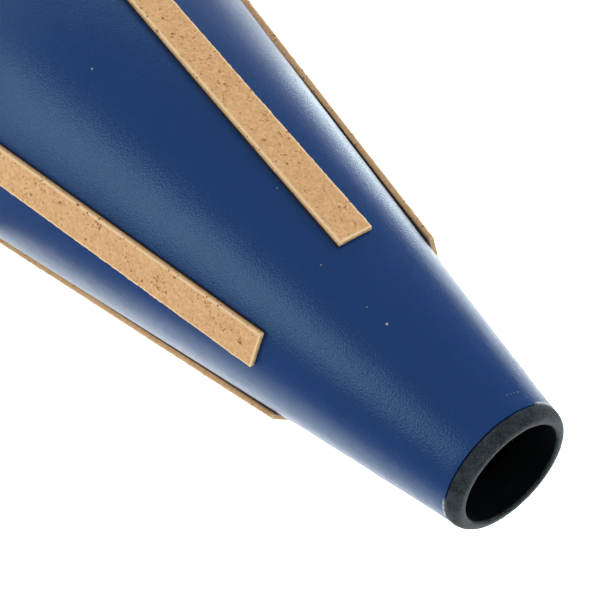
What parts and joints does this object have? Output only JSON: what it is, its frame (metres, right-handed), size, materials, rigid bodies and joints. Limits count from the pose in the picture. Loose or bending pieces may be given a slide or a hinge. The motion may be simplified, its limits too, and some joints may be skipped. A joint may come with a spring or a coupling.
{
  "type": "french horn straight mute",
  "caption": "Straight-sided conical horn mute with a rubber-ringed open nose, cork strips along its outside and a closed wide base.",
  "frame": {"origin": "centre of the base rim, on the plane that the mute stands on", "axes": "+Z along the axis from the closed base to the open nose; -Y to the front, midway between two cork strips"},
  "size_m": [0.1218, 0.1218, 0.22],
  "materials": {
    "lacquered_fibre": "satin",
    "black_rubber": "satin",
    "black_fibreboard": "matte",
    "cork": "matte"
  },
  "bodies": {
    "root": {"shell_cone": "lacquered_fibre", "nose_ring": "black_rubber", "base_disc": "black_fibreboard", "cork_strip_1": "cork", "cork_strip_2": "cork", "cork_strip_3": "cork", "cork_strip_4": "cork", "cork_strip_5": "cork"}
  },
  "joints": []
}
